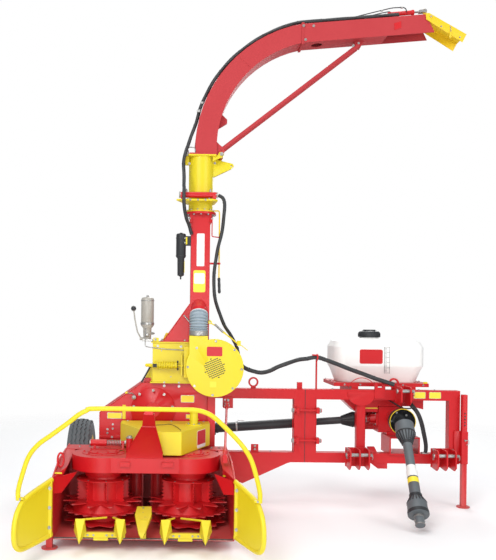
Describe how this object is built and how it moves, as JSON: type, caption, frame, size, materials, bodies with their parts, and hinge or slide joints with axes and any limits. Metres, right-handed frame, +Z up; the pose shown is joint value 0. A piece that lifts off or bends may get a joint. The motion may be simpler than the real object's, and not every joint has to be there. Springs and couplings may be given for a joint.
{
  "type": "forage harvester",
  "caption": "side-mounted row-independent forage harvester with twin gathering rotors, chopper, folding spout and three-point hitch frame",
  "frame": {"origin": "middle of the outline on the ground", "axes": "+X across to the hitch side, +Y to the rear, +Z up; the header's mouth faces -Y"},
  "size_m": [3.6181, 2.6092, 4.1655],
  "materials": {
    "air_bellows": "ribbed grey plastic hose",
    "air_elbow": "red gloss paint",
    "blower_volute": "yellow gloss paint",
    "boom_curve": "red gloss paint",
    "boom_far": "red gloss paint",
    "boom_hose": "black hose sleeve",
    "boom_strut": "red gloss paint",
    "centre_nose": "yellow gloss paint",
    "chassis_frame": "red gloss paint",
    "chopper_gearbox": "red gloss paint",
    "chopper_housing": "red gloss paint",
    "chopper_rotor": "bare steel",
    "crop_fingers_left": "yellow gloss paint",
    "crop_fingers_right": "yellow gloss paint",
    "crop_hoop": "yellow gloss paint",
    "cross_shaft_inner": "black moulded plastic",
    "cross_shaft_outer": "black moulded plastic",
    "deflector": "yellow gloss paint",
    "deflector_ram_barrel": "red gloss paint",
    "deflector_ram_rod": "bare steel",
    "divider_left": "yellow gloss paint",
    "divider_right": "yellow gloss paint",
    "drive_cover": "yellow gloss paint",
    "feed_roller_left": "red gloss paint",
    "feed_roller_right": "red gloss paint",
    "feed_tensioner": "red gloss paint",
    "filter_canister": "black moulded plastic",
    "frame_hose_left": "black hose sleeve",
    "frame_hose_right": "black hose sleeve",
    "grease_pump": "grey-brown satin paint",
    "header_foot": "red gloss paint",
    "header_frame": "red gloss paint",
    "header_gearcase": "red gloss paint",
    "hitch_frame": "red gloss paint",
    "hitch_gearbox": "red gloss paint",
    "lift_rod": "red gloss paint",
    "lower_link_ears_left": "red gloss paint",
    "lower_link_ears_right": "red gloss paint",
    "mast": "red gloss paint",
    "mast_hose_left": "black hose sleeve",
    "mast_hose_long": "black hose sleeve",
    "processor_box": "yellow gloss paint",
    "processor_spring": "yellow gloss paint",
    "pto_guard": "black moulded plastic",
    "pto_shaft": "black moulded plastic",
    "rotor_left": "red gloss paint",
    "rotor_right": "red gloss paint",
    "stand_leg": "red gloss paint",
    "tank": "white moulded plastic",
    "tank_cap": "black moulded plastic",
    "tank_cradle": "red gloss paint",
    "top_link_ears": "red gloss paint",
    "turning_ram": "red gloss paint",
    "turning_ring": "yellow gloss paint",
    "turret": "yellow gloss paint",
    "turret_hose": "black hose sleeve",
    "tyre": "black rubber, matt",
    "wheel_arm": "red gloss paint",
    "wheel_rim": "red gloss paint"
  },
  "bodies": {
    "harvester": {"air_bellows": "air_bellows", "air_elbow": "air_elbow", "blower_volute": "blower_volute", "centre_nose": "centre_nose", "chassis_frame": "chassis_frame", "chopper_gearbox": "chopper_gearbox", "chopper_housing": "chopper_housing", "chopper_rotor": "chopper_rotor", "crop_fingers_left": "crop_fingers_left", "crop_fingers_right": "crop_fingers_right", "crop_hoop": "crop_hoop", "cross_shaft_outer": "cross_shaft_outer", "divider_left": "divider_left", "divider_right": "divider_right", "drive_cover": "drive_cover", "feed_tensioner": "feed_tensioner", "filter_canister": "filter_canister", "frame_hose_left": "frame_hose_left", "grease_pump": "grease_pump", "header_frame": "header_frame", "header_gearcase": "header_gearcase", "lift_rod": "lift_rod", "mast": "mast", "mast_hose_left": "mast_hose_left", "mast_hose_long": "mast_hose_long", "processor_box": "processor_box", "processor_spring": "processor_spring", "turning_ram": "turning_ram", "turning_ring": "turning_ring", "wheel_arm": "wheel_arm"},
    "boom": {"boom_curve": "boom_curve", "boom_far": "boom_far", "boom_hose": "boom_hose", "boom_strut": "boom_strut"},
    "hitch": {"cross_shaft_inner": "cross_shaft_inner", "frame_hose_right": "frame_hose_right", "hitch_frame": "hitch_frame", "hitch_gearbox": "hitch_gearbox", "lower_link_ears_left": "lower_link_ears_left", "lower_link_ears_right": "lower_link_ears_right", "pto_guard": "pto_guard", "tank": "tank", "tank_cradle": "tank_cradle", "top_link_ears": "top_link_ears"},
    "deflector": {"deflector": "deflector"},
    "ram_barrel": {"deflector_ram_barrel": "deflector_ram_barrel"},
    "ram_rod": {"deflector_ram_rod": "deflector_ram_rod"},
    "left_roller": {"feed_roller_left": "feed_roller_left"},
    "right_roller": {"feed_roller_right": "feed_roller_right"},
    "foot": {"header_foot": "header_foot"},
    "pto": {"pto_shaft": "pto_shaft"},
    "left_rotor": {"rotor_left": "rotor_left"},
    "right_rotor": {"rotor_right": "rotor_right"},
    "stand": {"stand_leg": "stand_leg"},
    "cap": {"tank_cap": "tank_cap"},
    "turret": {"turret": "turret", "turret_hose": "turret_hose"},
    "wheel": {"tyre": "tyre", "wheel_rim": "wheel_rim"}
  },
  "joints": [
    {"name": "wheel_spin", "type": "hinge", "parent": "harvester", "child": "wheel", "pos_m": [-1.62375, 0.96725, 0.338], "axis": [1, 0, 0], "continuous": true},
    {"name": "left_rotor_spin", "type": "hinge", "parent": "harvester", "child": "left_rotor", "pos_m": [-1.30425, -0.37275, 0.25], "axis": [0, 0, 1], "continuous": true},
    {"name": "right_rotor_spin", "type": "hinge", "parent": "harvester", "child": "right_rotor", "pos_m": [-0.66925, -0.37275, 0.25], "axis": [0, 0, 1], "continuous": true},
    {"name": "left_feed_roller_spin", "type": "hinge", "parent": "harvester", "child": "left_roller", "pos_m": [-1.07175, 0.02725, 0.25], "axis": [0, 0, 1], "continuous": true},
    {"name": "right_feed_roller_spin", "type": "hinge", "parent": "harvester", "child": "right_roller", "pos_m": [-0.90175, 0.02725, 0.25], "axis": [0, 0, 1], "continuous": true},
    {"name": "header_foot_lift", "type": "slide", "parent": "harvester", "child": "foot", "axis": [0, 0, 1], "range_m": [0, 0.05]},
    {"name": "spout_turn", "type": "hinge", "parent": "harvester", "child": "turret", "pos_m": [-0.57975, 0.12725, 2.6003], "axis": [0, 0, 1], "range_deg": [-30, 150]},
    {"name": "spout_fold", "type": "hinge", "parent": "turret", "child": "boom", "pos_m": [-0.41775, 0.12725, 2.941], "axis": [0, 1, 0], "range_deg": [0, 90]},
    {"name": "deflector_tilt", "type": "hinge", "parent": "boom", "child": "deflector", "pos_m": [1.24725, 0.12725, 4.062], "axis": [0, 1, 0], "range_deg": [-20, 30]},
    {"name": "deflector_ram_tilt", "type": "hinge", "parent": "boom", "child": "ram_barrel", "pos_m": [0.93825, 0.12725, 4.116], "axis": [0, 1, 0], "range_deg": [-5, 5]},
    {"name": "deflector_ram_slide", "type": "slide", "parent": "ram_barrel", "child": "ram_rod", "axis": [0.9947, 0, 0.1025], "range_m": [-0.035, 0.05]},
    {"name": "frame_fold", "type": "hinge", "parent": "harvester", "child": "hitch", "pos_m": [0.37725, 0.91725, 0.92], "axis": [0, 0, 1], "range_deg": [0, 90]},
    {"name": "pto_shaft_lift", "type": "hinge", "parent": "hitch", "child": "pto", "pos_m": [1.18125, 0.38925, 0.753], "axis": [-1, 0, 0], "range_deg": [0, 60]},
    {"name": "stand_lift", "type": "slide", "parent": "hitch", "child": "stand", "axis": [0, 0, 1], "range_m": [0, 0.27]},
    {"name": "tank_cap_turn", "type": "hinge", "parent": "hitch", "child": "cap", "pos_m": [1.01625, 0.92725, 1.455], "axis": [0, 0, 1], "continuous": true}
  ],
  "couplings": [
    {"joint": "right_rotor_spin", "follows": "left_rotor_spin", "ratio": -1},
    {"joint": "left_feed_roller_spin", "follows": "left_rotor_spin", "ratio": 1.6},
    {"joint": "right_feed_roller_spin", "follows": "left_rotor_spin", "ratio": -1.6},
    {"joint": "deflector_ram_tilt", "follows": "deflector_tilt", "ratio": -0.013},
    {"joint": "deflector_ram_slide", "follows": "deflector_tilt", "m_per_rad": 0.0854}
  ]
}
